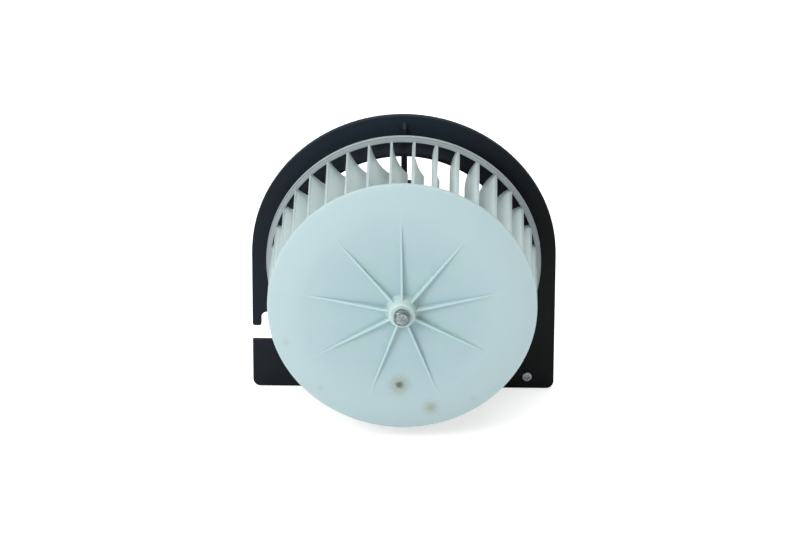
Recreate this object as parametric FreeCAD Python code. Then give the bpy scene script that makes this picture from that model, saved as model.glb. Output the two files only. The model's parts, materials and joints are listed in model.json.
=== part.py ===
import FreeCAD, Part
import math
import os

# Car cabin blower motor: arched mounting frame, brush motor and squirrel cage wheel.
# Millimetres. +Z is up, the wheel's closed disc faces -Y, +X is to the right of a viewer in front.
# The origin lies on the spin axis, in the plane of the frame plate's front face.

# Plate of the mounting frame
plate_radius = 77.7
plate_drop = 76.0
plate_thickness = 3.0
plate_corner = 4.0
plate_edge_round = 0.4

# Wiring notch in the plate's left side
notch_sill_drop = 49.6
notch_mouth = 8.4
notch_height = 16.2
notch_reach = 13.7
notch_arm_width = 4.6
notch_arm_round = 1.3
notch_fillet = 3.0

# Inlet bell around the opening
throat_radius = 57.0
bell_roll = 9.0
bell_rise = 4.8
bell_wall = 2.4

# Legs between the bell and the motor holder
leg_count = 3
leg_first_angle = 90.0
leg_width = 3.0
leg_front_inset = 1.2
leg_rib_length = 6.0
leg_heel = 1.8
leg_root = 9.7
leg_wheel_gap = 2.0
holder_gap = 1.2
holder_wall = 2.4
holder_length = 13.3
pad_thickness = 3.6
pad_length = 9.0
pad_arc = 20.0

# Stiffening rib at the top of the plate's front
rib_width = 1.8
rib_height = 3.0
rib_edge_gap = 3.6
rib_end_slope = 2.2

# Small screw in the lower right corner
screw_edge_gap = 13.8
screw_foot_gap = 7.0
screw_head_radius = 2.6
screw_head_height = 1.9
screw_head_round = 0.85
screw_seat_radius = 3.1
screw_seat = 0.4
screw_thread_radius = 1.45
screw_point_radius = 0.5
screw_length = 11.0
screw_boss_radius = 3.6
screw_boss_height = 3.0
recess_span = 2.8
recess_width = 0.8
recess_depth = 1.0

# Impeller ring and disc
wheel_gap = 6.8
ring_radius = 70.0
ring_wall = 2.55
ring_width = 2.7
ring_step = 0.5
wheel_depth = 54.1
disc_radius = 67.6
disc_thickness = 2.0
disc_crown = 3.0
crown_radius = 50.0
crown_fullness = 0.67
disc_edge_round = 0.35

# Impeller blades, each an arc between its outer and inner edge
blade_count = 37
blade_first_angle = 7.6
blade_ring_bite = 0.55
blade_chord = 20.9
blade_lean = 15.5
blade_bow = 2.45
blade_thickness = 1.3
blade_tip_round = 0.35

# Impeller hub and gusset ribs
hub_base_radius = 7.5
hub_face_radius = 6.5
hub_rise = 9.9
hub_fillet = 1.6
hub_chamfer = 0.5
hub_tail = 5.7
hub_tail_radius = 8.0
gusset_count = 9
gusset_first_angle = 91.0
gusset_rise = 6.5
gusset_reach = 52.0
gusset_width = 1.1
gusset_sink = 0.4

# Shaft and bearings
shaft_radius = 4.0
shaft_proud = 3.9
shaft_chamfer = 0.6
shaft_end_gap = 0.8
bush_length = 8.0
bush_ball_radius = 7.0
felt_thickness = 1.9
felt_length = 3.0
bearing_clip_thickness = 0.5
bearing_clip_offset = 2.0
washer_thickness = 0.8
washer_wall = 2.2
end_float = 0.3

# Motor can
can_running_gap = 1.3
can_radius = 33.0
can_length = 55.0
can_wall = 1.5
can_corner = 3.0
can_boss_depth = 6.7
can_hole_gap = 0.9
vent_count = 4
vent_inner_radius = 14.0
vent_outer_radius = 21.0
vent_arc = 50.0

# Field magnets
magnet_thickness = 6.4
magnet_overhang = 4.0
magnet_arc = 120.0
magnet_clip_thickness = 0.8
magnet_clip_inset = 3.0

# Armature
air_gap = 0.9
core_hub_radius = 9.0
slot_count = 12
tooth_width = 3.4
tooth_shoe = 2.5
slot_opening = 2.1
insulator_thickness = 1.0
insulator_collar = 4.9
insulator_collar_wall = 2.2
head_length_front = 4.4
head_length_rear = 4.5
head_round = 2.6
slot_liner = 0.25

# Commutator
commutator_radius = 11.0
commutator_hub_radius = 8.0
commutator_offset = 5.0
bar_start = 3.0
bar_length = 14.0
bar_end_gap = 0.9
bar_gap = 0.6
riser_radius = 13.0
riser_width = 1.5

# End cap
cap_flange = 3.0
cap_depth = 12.8
cap_wall = 2.5
cap_bowl_radius = 28.5
cap_spigot = 4.0
cap_boss_depth = 6.5

# Connector socket on the end cap
socket_drop = 17.0
socket_width = 16.8
socket_height = 9.8
socket_wall = 1.6
socket_length = 16.0
latch_width = 6.0
latch_height = 1.5
latch_length = 4.0
terminal_pitch = 8.0
terminal_width = 6.3
terminal_thickness = 0.8
terminal_inset = 2.0
terminal_tab = 5.2

# Ears, grommets and shoulder screws that hold the motor
ear_count = 3
ear_first_angle = 30.0
ear_radius = 5.6
grommet_flange = 1.5
grommet_radius = 4.3
grommet_neck_radius = 3.3
shoulder_radius = 2.3
motor_screw_thread_radius = 1.7
motor_screw_head_radius = 4.4
motor_screw_head_height = 2.0
motor_screw_flange = 0.8
motor_screw_crown_radius = 3.3
motor_recess_span = 3.9
motor_screw_thread_length = 6.0
ear_boss_radius = 4.0
ear_boss_length = 8.0
ear_clearance = 0.5

# Brush gear
card_thickness = 1.6
card_hole_gap = 1.5
post_height = 2.7
post_radius = 2.2
post_pitch_radius = 21.5
post_angle = 35.0
rivet_radius = 1.2
rivet_head_radius = 2.0
rivet_crown_radius = 1.0
rivet_head_height = 0.8
brush_height = 8.0
brush_width = 6.0
brush_length = 9.5
brush_side_gap = 0.1
brush_box_wall = 0.7
brush_box_inner_gap = 1.2
lead_slot_width = 1.6
spring_wire = 0.5
spring_radius = 2.1
spring_turns = 3
lead_radius = 0.45
lead_offset = 2.4
choke_side = 12.5
choke_drop_top = 8.6
choke_length = 11.0
choke_core_radius = 1.7
choke_coil_radius = 2.9
choke_core_proud = 0.6

# Clearances
press_gap = 0.02
bush_gap = 0.03
commutator_gap = 0.1
seat_gap = 0.1

# How far a cut runs past what it cuts
cut_past = 1.0

# Places along the axis, front to rear
ring_back = -wheel_gap
ring_front = ring_back - ring_width
rim_front = ring_back - wheel_depth
crown_front = rim_front - disc_crown
hub_face = rim_front - hub_rise
hub_tail_end = rim_front + hub_tail
shaft_front = hub_face - shaft_proud
can_boss_front = hub_tail_end + can_running_gap
can_front = can_boss_front + can_boss_depth
can_rim = can_front + can_length
cap_flange_rear = can_rim + cap_flange
cap_rear = can_rim + cap_depth
cap_inner_rear = cap_rear - cap_wall
cap_boss_rear = cap_rear + cap_boss_depth
rear_bush_seat = cap_boss_rear - can_wall
rear_washer = rear_bush_seat - bush_length - end_float - washer_thickness
shaft_rear = rear_bush_seat - shaft_end_gap
bar_rear = rear_washer - bar_end_gap
bar_front = bar_rear - bar_length
commutator_front = bar_front - bar_start
rear_insulator_face = commutator_front - commutator_offset
core_rear = rear_insulator_face - insulator_thickness
front_bush_seat = can_boss_front + can_wall
front_washer = front_bush_seat + bush_length + end_float
front_collar = front_washer + washer_thickness
front_insulator_face = front_collar + insulator_collar
core_front = front_insulator_face + insulator_thickness
magnet_front = core_front - magnet_overhang
magnet_rear = core_rear + magnet_overhang
card_rear = cap_inner_rear - post_height
card_front = card_rear - card_thickness
socket_rear = cap_rear + socket_length
holder_back = can_rim - ear_clearance
holder_front = holder_back - holder_length
boss_face = can_rim - grommet_flange
grommet_rear = cap_flange_rear + grommet_flange

# Radii and sideways places that follow
screw_side = plate_radius - screw_edge_gap
screw_drop = plate_drop - screw_foot_gap
bell_entry_radius = throat_radius + bell_roll
ring_inner_radius = ring_radius - ring_wall
blade_outer_radius = ring_inner_radius + blade_ring_bite
blade_inner_radius = disc_radius - blade_chord
can_inner_radius = can_radius - can_wall
holder_inner_radius = can_radius + holder_gap
holder_radius = holder_inner_radius + holder_wall
pocket_inner_radius = can_radius + pad_thickness
pocket_radius = pocket_inner_radius + holder_wall
pocket_arc = pad_arc + 2 * math.degrees(holder_wall / pocket_radius)
ear_pitch_radius = can_radius + ear_clearance + grommet_radius
magnet_outer_radius = can_inner_radius - seat_gap
magnet_inner_radius = magnet_outer_radius - magnet_thickness
core_radius = magnet_inner_radius - air_gap
shaft_hole_radius = shaft_radius + press_gap
bush_bore_radius = shaft_radius + bush_gap
felt_inner_radius = bush_ball_radius + seat_gap
can_hole_radius = shaft_radius + can_hole_gap
boss_inner_radius = felt_inner_radius + felt_thickness
bearing_boss_radius = boss_inner_radius + can_wall
cap_bowl_inner_radius = cap_bowl_radius - cap_wall
brush_box_width = brush_width + 2 * (brush_side_gap + brush_box_wall)
brush_box_height = brush_height + 2 * (brush_side_gap + brush_box_wall)
brush_axis = card_front - brush_box_height / 2
brush_inner_end = commutator_radius + commutator_gap
brush_outer_end = brush_inner_end + brush_length
brush_box_end = math.sqrt((cap_bowl_inner_radius - ear_clearance) ** 2 - (brush_box_width / 2) ** 2)
choke_axis = card_front - choke_coil_radius

AXIS = FreeCAD.Vector(0, -1, 0)
ORIGIN = FreeCAD.Vector(0, 0, 0)


def half_plane(point):
    """(radius, y) as a point of the plane that is turned about the axis."""
    return FreeCAD.Vector(point[0], point[1], 0)


def front_plane(point):
    """(x, z) as a point of the plane that faces the viewer."""
    return FreeCAD.Vector(point[0], 0, point[1])


def outline(place, start, *steps):
    """A closed face outline. A step is an end point, or (through, end) for an arc."""
    edges = []
    here = place(start)
    for step in steps + (start,):
        is_arc = isinstance(step[0], tuple)
        end = place(step[1]) if is_arc else place(step)
        if is_arc:
            edges.append(Part.Arc(here, place(step[0]), end).toShape())
        elif here.distanceToPoint(end) > 1e-6:
            edges.append(Part.makeLine(here, end))
        here = end
    return Part.Face(Part.Wire(edges))


def arc_middle(radius):
    """How far the middle of a quarter round lies from the corner's two sides."""
    return radius * (1 - math.sqrt(0.5))


def turned(start, *steps):
    """A solid turned about the axis from a (radius, y) outline."""
    return outline(half_plane, start, *steps).revolve(ORIGIN, AXIS, 360)


def tube(inner, outer, y0, y1):
    """A plain ring about the axis."""
    return turned((inner, y0), (outer, y0), (outer, y1), (inner, y1))


def disc(radius, y0, y1):
    """A plain cylinder about the axis."""
    return Part.makeCylinder(radius, y1 - y0, FreeCAD.Vector(0, y0, 0), FreeCAD.Vector(0, 1, 0))


def pin(x, z, radius, y0, y1):
    """A cylinder parallel to the axis."""
    return Part.makeCylinder(radius, y1 - y0, FreeCAD.Vector(x, y0, z), FreeCAD.Vector(0, 1, 0))


def block(x0, x1, y0, y1, z0, z1):
    """A box between two corners."""
    return Part.makeBox(x1 - x0, y1 - y0, z1 - z0, FreeCAD.Vector(x0, y0, z0))


def sector(inner, outer, y0, y1, middle, arc):
    """A piece of a ring, as wide as an arc about its middle angle."""
    face = outline(half_plane, (inner, y0), (outer, y0), (outer, y1), (inner, y1))
    return spun(face.revolve(ORIGIN, AXIS, arc), middle - arc / 2)


def prism(y0, y1, start, *steps):
    """A plate cut to an (x, z) outline, between two places on the axis."""
    solid = outline(front_plane, start, *steps).extrude(FreeCAD.Vector(0, y1 - y0, 0))
    solid.translate(FreeCAD.Vector(0, y0, 0))
    return solid


def spun(shape, angle):
    """A copy turned about the axis, from +X towards +Z."""
    copy = shape.copy()
    copy.rotate(ORIGIN, AXIS, angle)
    return copy


def around(shape, count, first=0.0):
    """Evenly spaced copies about the axis."""
    return [spun(shape, first + index * 360.0 / count) for index in range(count)]


def mirrored(shape):
    """The same piece on the other side of the motor."""
    return shape.mirror(ORIGIN, FreeCAD.Vector(1, 0, 0))


def joined(shapes):
    """One solid from shapes that overlap."""
    return shapes[0].multiFuse(shapes[1:]).removeSplitter()


def wire_piece(points, radius, bend):
    """A round wire along straight runs with arcs at its corners."""
    corners = [FreeCAD.Vector(*point) for point in points]
    edges = []
    here = corners[0]
    for before, corner, after in zip(corners, corners[1:], corners[2:]):
        back = (before - corner).normalize()
        ahead = (after - corner).normalize()
        half = (math.pi - back.getAngle(ahead)) / 2
        step = bend * math.tan(half)
        arc_start = corner + back * step
        arc_end = corner + ahead * step
        middle = (back + ahead).normalize()
        through = corner + middle * (bend / math.cos(half) - bend)
        edges.append(Part.makeLine(here, arc_start))
        edges.append(Part.Arc(arc_start, through, arc_end).toShape())
        here = arc_end
    edges.append(Part.makeLine(here, corners[-1]))
    path = Part.Wire(edges)
    start_direction = corners[1] - corners[0]
    section = Part.Wire([Part.makeCircle(radius, corners[0], start_direction)])
    return path.makePipeShell([section], True, False)


# Mounting frame

def plate_blank():
    side = plate_radius
    foot = -plate_drop
    round_mid = arc_middle(plate_corner)
    return prism(
        0, plate_thickness,
        (side, 0),
        ((0, side), (-side, 0)),
        (-side, foot + plate_corner),
        ((-side + round_mid, foot + round_mid), (-side + plate_corner, foot)),
        (side - plate_corner, foot),
        ((side - round_mid, foot + round_mid), (side, foot + plate_corner)),
    )


def notch_cut():
    """The wiring notch: a mouth below a short arm, and a pocket behind the arm."""
    edge = -plate_radius
    beyond = edge - plate_corner
    arm_side = edge + notch_arm_width
    sill = -notch_sill_drop
    arm_tip = sill + notch_mouth
    roof = sill + notch_height
    tip_mid = arc_middle(notch_arm_round)
    roof_mid = arc_middle(notch_fillet)
    return prism(
        -cut_past, plate_thickness + cut_past,
        (beyond, sill),
        (edge + notch_reach, sill),
        (edge + notch_reach, roof),
        (arm_side + notch_fillet, roof),
        ((arm_side + roof_mid, roof - roof_mid), (arm_side, roof - notch_fillet)),
        (arm_side, arm_tip + notch_arm_round),
        ((arm_side - tip_mid, arm_tip + tip_mid), (arm_side - notch_arm_round, arm_tip)),
        (edge + notch_arm_round, arm_tip),
        ((edge + tip_mid, arm_tip + tip_mid), (edge, arm_tip + notch_arm_round)),
        (beyond, arm_tip + notch_arm_round),
    )


def bell_arc(inset):
    """Start, middle and end of a bell curve that lies inset from the air side."""
    nose = bell_wall / 2 - bell_rise
    width = bell_roll - inset
    height = plate_thickness - nose - inset * (plate_thickness / bell_wall)
    middle = (
        bell_entry_radius - width * math.sqrt(0.5),
        nose + height * math.sqrt(0.5),
    )
    return (throat_radius + inset, nose), middle, (bell_entry_radius, nose + height)


def inlet_bell():
    air_nose, air_middle, air_entry = bell_arc(0)
    back_nose, back_middle, back_entry = bell_arc(bell_wall)
    seam = bell_entry_radius + bell_wall / 2
    return turned(
        air_nose,
        (air_middle, air_entry),
        (seam, air_entry[1]),
        (seam, back_entry[1]),
        back_entry,
        (back_middle, back_nose),
        ((throat_radius + bell_wall / 2, -bell_rise), air_nose),
    )


def holder_leg():
    """One leg: a web from a pad pocket through the bell, ending as a rib on the plate's back."""
    nose, middle, entry = bell_arc(bell_wall / 2)
    inner = pocket_inner_radius + holder_wall / 2
    outer = bell_entry_radius + leg_rib_length
    web = outline(
        half_plane,
        (inner, holder_back - leg_root),
        (nose[0], nose[1] + leg_front_inset),
        (middle, entry),
        (outer, entry[1]),
        (outer, plate_thickness + leg_heel / 2),
        (bell_entry_radius, plate_thickness + leg_heel),
        (inner, holder_back),
    )
    web.translate(FreeCAD.Vector(0, 0, -leg_width / 2))
    wheel_room = tube(blade_inner_radius, outer, crown_front, ring_back + leg_wheel_gap)
    return web.extrude(FreeCAD.Vector(0, 0, leg_width)).cut(wheel_room)


def plate_rib():
    """The rib on the plate's front, with a sloping end near the edge."""
    crest_end = plate_radius - rib_edge_gap - rib_end_slope
    web = outline(
        half_plane,
        (bell_entry_radius - bell_wall, plate_thickness / 2),
        (bell_entry_radius - bell_wall, -rib_height),
        (crest_end, -rib_height),
        (plate_radius - rib_edge_gap, 0),
        (plate_radius - rib_edge_gap, plate_thickness / 2),
    )
    web.translate(FreeCAD.Vector(0, 0, -rib_width / 2))
    return web.extrude(FreeCAD.Vector(0, 0, rib_width))


def plate_with_notch():
    """The plate with rounded edges all round its outline, front and back."""
    plate = plate_blank().cut(notch_cut())
    outline_edges = [edge for edge in plate.Edges
                     if abs(edge.BoundBox.YMax - edge.BoundBox.YMin) < plate_thickness / 2]
    return plate.makeFillet(plate_edge_round, outline_edges)


def mounting_frame():
    plate = plate_with_notch().cut(disc(bell_entry_radius, -cut_past, plate_thickness + cut_past))
    holder = tube(holder_inner_radius, holder_radius, holder_front, holder_back)
    pocket = sector(holder_inner_radius, pocket_radius, holder_front, holder_back, 0, pocket_arc)
    pad_room = sector(can_radius, pocket_inner_radius, holder_front - cut_past,
                      holder_front + pad_length + seat_gap, 0, pad_arc)
    boss = pin(ear_pitch_radius, 0, ear_boss_radius, boss_face - ear_boss_length, boss_face)
    ear_relief = pin(ear_pitch_radius, 0, ear_radius + ear_clearance, boss_face, can_rim)
    thread = pin(ear_pitch_radius, 0, motor_screw_thread_radius + press_gap,
                 boss_face - motor_screw_thread_length - ear_clearance, boss_face)
    screw_boss = pin(screw_side, -screw_drop, screw_boss_radius,
                     plate_thickness / 2, plate_thickness + screw_boss_height)
    screw_hole = pin(screw_side, -screw_drop, screw_thread_radius + press_gap,
                     -cut_past, plate_thickness + screw_boss_height + cut_past)
    screw_recess = pin(screw_side, -screw_drop, screw_seat_radius, -cut_past, screw_seat)
    pieces = [plate, inlet_bell(), holder, screw_boss, spun(plate_rib(), leg_first_angle)]
    pieces += around(pocket, leg_count, leg_first_angle)
    pieces += around(holder_leg(), leg_count, leg_first_angle)
    frame = joined(pieces)
    for cut in around(ear_relief, ear_count, ear_first_angle) + around(pad_room, leg_count, leg_first_angle):
        frame = frame.cut(cut)
    frame = frame.fuse(around(boss, ear_count, ear_first_angle))
    frame = frame.cut(disc(can_radius + ear_clearance, can_front, can_rim))
    for cut in around(thread, ear_count, ear_first_angle) + [screw_hole, screw_recess]:
        frame = frame.cut(cut)
    return frame.removeSplitter()


def damper_pads():
    """Rubber pads round the can, one in each pocket of the holder."""
    side_gap = math.degrees(2 * press_gap / can_radius)
    pad = sector(can_radius + seat_gap, pocket_inner_radius - press_gap,
                 holder_front, holder_front + pad_length, 0, pad_arc - side_gap)
    return Part.makeCompound(around(pad, leg_count, leg_first_angle))


def fixing_screw():
    """A pan-head self-tapping screw whose head lies in a shallow seat."""
    head_front = screw_seat - screw_head_height
    shank_end = screw_seat + screw_length - screw_thread_radius
    round_mid = arc_middle(screw_head_round)
    screw = turned(
        (0, head_front),
        (screw_head_radius - screw_head_round, head_front),
        ((screw_head_radius - round_mid, head_front + round_mid),
         (screw_head_radius, head_front + screw_head_round)),
        (screw_head_radius, screw_seat),
        (screw_thread_radius, screw_seat),
        (screw_thread_radius, shank_end),
        (screw_point_radius, screw_seat + screw_length),
        (0, screw_seat + screw_length),
    )
    slot = block(-recess_span / 2, recess_span / 2, head_front - cut_past, head_front + recess_depth,
                 -recess_width / 2, recess_width / 2)
    for turn in (0, 90):
        screw = screw.cut(spun(slot, turn))
    screw.translate(FreeCAD.Vector(screw_side, 0, -screw_drop))
    return screw


# Impeller

def disc_arc(depth):
    """End and middle of the disc's crown curve, depth behind its front surface."""
    middle = ((disc_radius + crown_radius) / 2, rim_front - disc_crown * crown_fullness + depth)
    return middle, (crown_radius, crown_front + depth)


def disc_and_hub():
    front_middle, front_crown = disc_arc(0)
    back_middle, back_crown = disc_arc(disc_thickness)
    edge_mid = arc_middle(disc_edge_round)
    fillet_mid = arc_middle(hub_fillet)
    return turned(
        (disc_radius, rim_front + disc_thickness),
        (disc_radius, rim_front + disc_edge_round),
        ((disc_radius - edge_mid, rim_front + edge_mid), (disc_radius - disc_edge_round, rim_front)),
        (front_middle, front_crown),
        (hub_base_radius + hub_fillet, crown_front),
        ((hub_base_radius + fillet_mid, crown_front - fillet_mid),
         (hub_base_radius, crown_front - hub_fillet)),
        (hub_face_radius, hub_face + hub_chamfer),
        (hub_face_radius - hub_chamfer, hub_face),
        (shaft_hole_radius, hub_face),
        (shaft_hole_radius, hub_tail_end),
        (hub_tail_radius, hub_tail_end),
        (hub_tail_radius, crown_front + disc_thickness),
        back_crown,
        (back_middle, (disc_radius, rim_front + disc_thickness)),
    )


def inlet_ring():
    """The ring at the blades' inlet ends, with a small step round its outer front edge."""
    return turned(
        (ring_inner_radius, ring_back),
        (ring_radius, ring_back),
        (ring_radius, ring_front + ring_step),
        (ring_radius - ring_step, ring_front + ring_step),
        (ring_radius - ring_step, ring_front),
        (ring_inner_radius, ring_front),
    )


def blade_room():
    """The space that blades fill: from the ring's back to inside the disc, slimmer there."""
    middle, crown = disc_arc(disc_thickness / 2)
    return turned(
        (holder_inner_radius, ring_back),
        (blade_outer_radius, ring_back),
        (disc_radius, rim_front + disc_thickness / 2),
        (middle, crown),
        (holder_inner_radius, crown_front + disc_thickness / 2),
    )


def blade():
    """One curved blade with its outer edge on +X, hollow side towards -Z."""
    lean = math.radians(blade_lean)
    along = (-math.cos(lean), -math.sin(lean))
    across = (-math.sin(lean), math.cos(lean))
    outer = blade_outer_radius + blade_thickness / 2
    chord = blade_chord + blade_thickness / 2

    def spot(run, side):
        return (outer + along[0] * run + across[0] * side, along[1] * run + across[1] * side)

    half = blade_thickness / 2
    section = prism(
        crown_front, ring_back,
        spot(0, half),
        (spot(chord / 2, blade_bow + half), spot(chord, half)),
        (spot(chord + blade_tip_round, 0), spot(chord, -half)),
        (spot(chord / 2, blade_bow - half), spot(0, -half)),
    )
    return section.common(blade_room())


def gusset():
    web = outline(
        half_plane,
        (hub_face_radius - hub_chamfer, crown_front + gusset_sink),
        (hub_face_radius - hub_chamfer, rim_front - gusset_rise),
        (hub_base_radius, rim_front - gusset_rise),
        (gusset_reach, crown_front + gusset_sink),
    )
    web.translate(FreeCAD.Vector(0, 0, -gusset_width / 2))
    return web.extrude(FreeCAD.Vector(0, 0, gusset_width))


def impeller():
    pieces = [disc_and_hub(), inlet_ring()]
    pieces += around(gusset(), gusset_count, gusset_first_angle)
    pieces += around(blade(), blade_count, blade_first_angle)
    return joined(pieces)


# Shaft and bearings

def motor_shaft():
    return turned(
        (0, shaft_front),
        (shaft_radius - shaft_chamfer, shaft_front),
        (shaft_radius, shaft_front + shaft_chamfer),
        (shaft_radius, shaft_rear - shaft_chamfer),
        (shaft_radius - shaft_chamfer, shaft_rear),
        (0, shaft_rear),
    )


def bush(seat, inward):
    """A ball-shaped sintered bush whose end face sits on its seat."""
    ends = sorted((seat, seat + inward * bush_length))
    ball = Part.makeSphere(bush_ball_radius, FreeCAD.Vector(0, sum(ends) / 2, 0))
    return ball.common(tube(bush_bore_radius, bush_ball_radius + cut_past, ends[0], ends[1]))


def oil_felt(seat, inward):
    """A felt ring around the bush, at the bottom of its housing."""
    ends = sorted((seat, seat + inward * felt_length))
    return tube(felt_inner_radius, boss_inner_radius - seat_gap, ends[0], ends[1])


def bush_clip(seat, inward):
    """A dished spring ring that presses the bush into its seat."""
    base = seat + inward * (bush_length / 2 + bearing_clip_offset)
    rise = inward * bearing_clip_thickness
    return turned(
        (bush_ball_radius, base),
        (boss_inner_radius - seat_gap, base - rise),
        (boss_inner_radius - seat_gap, base),
        (bush_ball_radius, base + rise),
    )


def thrust_washer(y0):
    return tube(shaft_hole_radius, shaft_hole_radius + washer_wall, y0, y0 + washer_thickness)


# Motor can and magnets

def motor_can():
    corner_mid = arc_middle(can_corner)
    inner_mid = arc_middle(can_corner - can_wall)
    can = turned(
        (can_hole_radius, can_boss_front),
        (bearing_boss_radius - can_wall, can_boss_front),
        (bearing_boss_radius, can_boss_front + can_wall),
        (bearing_boss_radius, can_front),
        (can_radius - can_corner, can_front),
        ((can_radius - corner_mid, can_front + corner_mid), (can_radius, can_front + can_corner)),
        (can_radius, can_rim),
        (can_inner_radius, can_rim),
        (can_inner_radius, can_front + can_corner),
        ((can_inner_radius - inner_mid, can_front + can_wall + inner_mid),
         (can_radius - can_corner, can_front + can_wall)),
        (boss_inner_radius, can_front + can_wall),
        (boss_inner_radius, front_bush_seat),
        (can_hole_radius, front_bush_seat),
    )
    vent = sector(vent_inner_radius, vent_outer_radius,
                  can_front - cut_past, can_front + can_wall + cut_past, 0, vent_arc)
    for cut in around(vent, vent_count, 180.0 / vent_count):
        can = can.cut(cut)
    return can


def magnet():
    return sector(magnet_inner_radius, magnet_outer_radius, magnet_front, magnet_rear, 0, magnet_arc)


def magnet_clip():
    """A spring strip that lies on the can's wall and spreads two magnets apart."""
    y0 = magnet_front + magnet_clip_inset
    y1 = magnet_rear - magnet_clip_inset
    gap_arc = 180.0 - magnet_arc
    leg_arc = math.degrees(magnet_clip_thickness / magnet_inner_radius)
    seat_arc = math.degrees(seat_gap / magnet_inner_radius)
    back = sector(magnet_outer_radius - magnet_clip_thickness, magnet_outer_radius,
                  y0, y1, 90, gap_arc - 2 * seat_arc)
    pieces = [back]
    for side in (-1, 1):
        lean = side * (gap_arc / 2 - seat_arc - leg_arc / 2)
        pieces.append(sector(magnet_inner_radius + magnet_clip_thickness, magnet_outer_radius,
                             y0, y1, 90 + lean, leg_arc))
    return joined(pieces)


# Armature

def slotted_stack(y0, y1):
    """The toothed section that the core and its insulators share."""
    shoe_arc = 360.0 / slot_count - math.degrees(slot_opening / core_radius)
    shoe = sector(core_radius - tooth_shoe, core_radius, y0, y1, 0, shoe_arc)
    tooth = block(core_hub_radius - cut_past, core_radius - tooth_shoe / 2, y0, y1,
                  -tooth_width / 2, tooth_width / 2)
    hub = tube(shaft_hole_radius, core_hub_radius, y0, y1)
    return joined([hub] + around(shoe, slot_count) + around(tooth, slot_count))


def front_insulator():
    collar = tube(shaft_hole_radius, shaft_hole_radius + insulator_collar_wall,
                  front_collar, front_insulator_face)
    return joined([slotted_stack(front_insulator_face, core_front), collar])


def winding_head(y_inner, y_outer):
    """One rounded end of the winding, with its flat side on the insulator."""
    inner = core_hub_radius
    outer = core_radius - tooth_shoe + slot_liner
    crest = ((inner + outer) / 2, y_outer)
    shoulder = y_outer - math.copysign(head_round, y_outer - y_inner)
    return turned((inner, y_inner), (outer, y_inner), (outer, shoulder), (crest, (inner, shoulder)))


def armature_winding():
    inner = core_hub_radius + slot_liner
    outer = core_radius - tooth_shoe - slot_liner
    side_gap = tooth_width / 2 + slot_liner
    inner_turn = math.pi / slot_count - math.asin(side_gap / inner)
    outer_turn = math.pi / slot_count - math.asin(side_gap / outer)
    inner_corner = (inner * math.cos(inner_turn), inner * math.sin(inner_turn))
    outer_corner = (outer * math.cos(outer_turn), outer * math.sin(outer_turn))
    front_end = front_insulator_face - head_length_front
    rear_end = rear_insulator_face + head_length_rear
    slot_fill = prism(
        front_insulator_face - cut_past, rear_insulator_face + cut_past,
        (inner_corner[0], -inner_corner[1]),
        (outer_corner[0], -outer_corner[1]),
        ((outer, 0), outer_corner),
        inner_corner,
        ((inner, 0), (inner_corner[0], -inner_corner[1])),
    )
    pieces = [winding_head(front_insulator_face, front_end), winding_head(rear_insulator_face, rear_end)]
    pieces += around(slot_fill, slot_count, 180.0 / slot_count)
    return joined(pieces)


def commutator_bars():
    bar_arc = 360.0 / slot_count - math.degrees(bar_gap / commutator_radius)
    riser_arc = math.degrees(riser_width / riser_radius)
    body = sector(commutator_hub_radius + press_gap, commutator_radius, bar_front, bar_rear, 0, bar_arc)
    riser = sector(commutator_radius - cut_past, riser_radius,
                   bar_front, bar_front + riser_width, 0, riser_arc)
    return Part.makeCompound(around(joined([body, riser]), slot_count, 180.0 / slot_count))


# End cap and what holds the motor

def socket_block(grow, y0, y1):
    return block(-socket_width / 2 - grow, socket_width / 2 + grow, y0, y1,
                 -socket_drop - socket_height / 2 - grow, -socket_drop + socket_height / 2 + grow)


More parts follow.
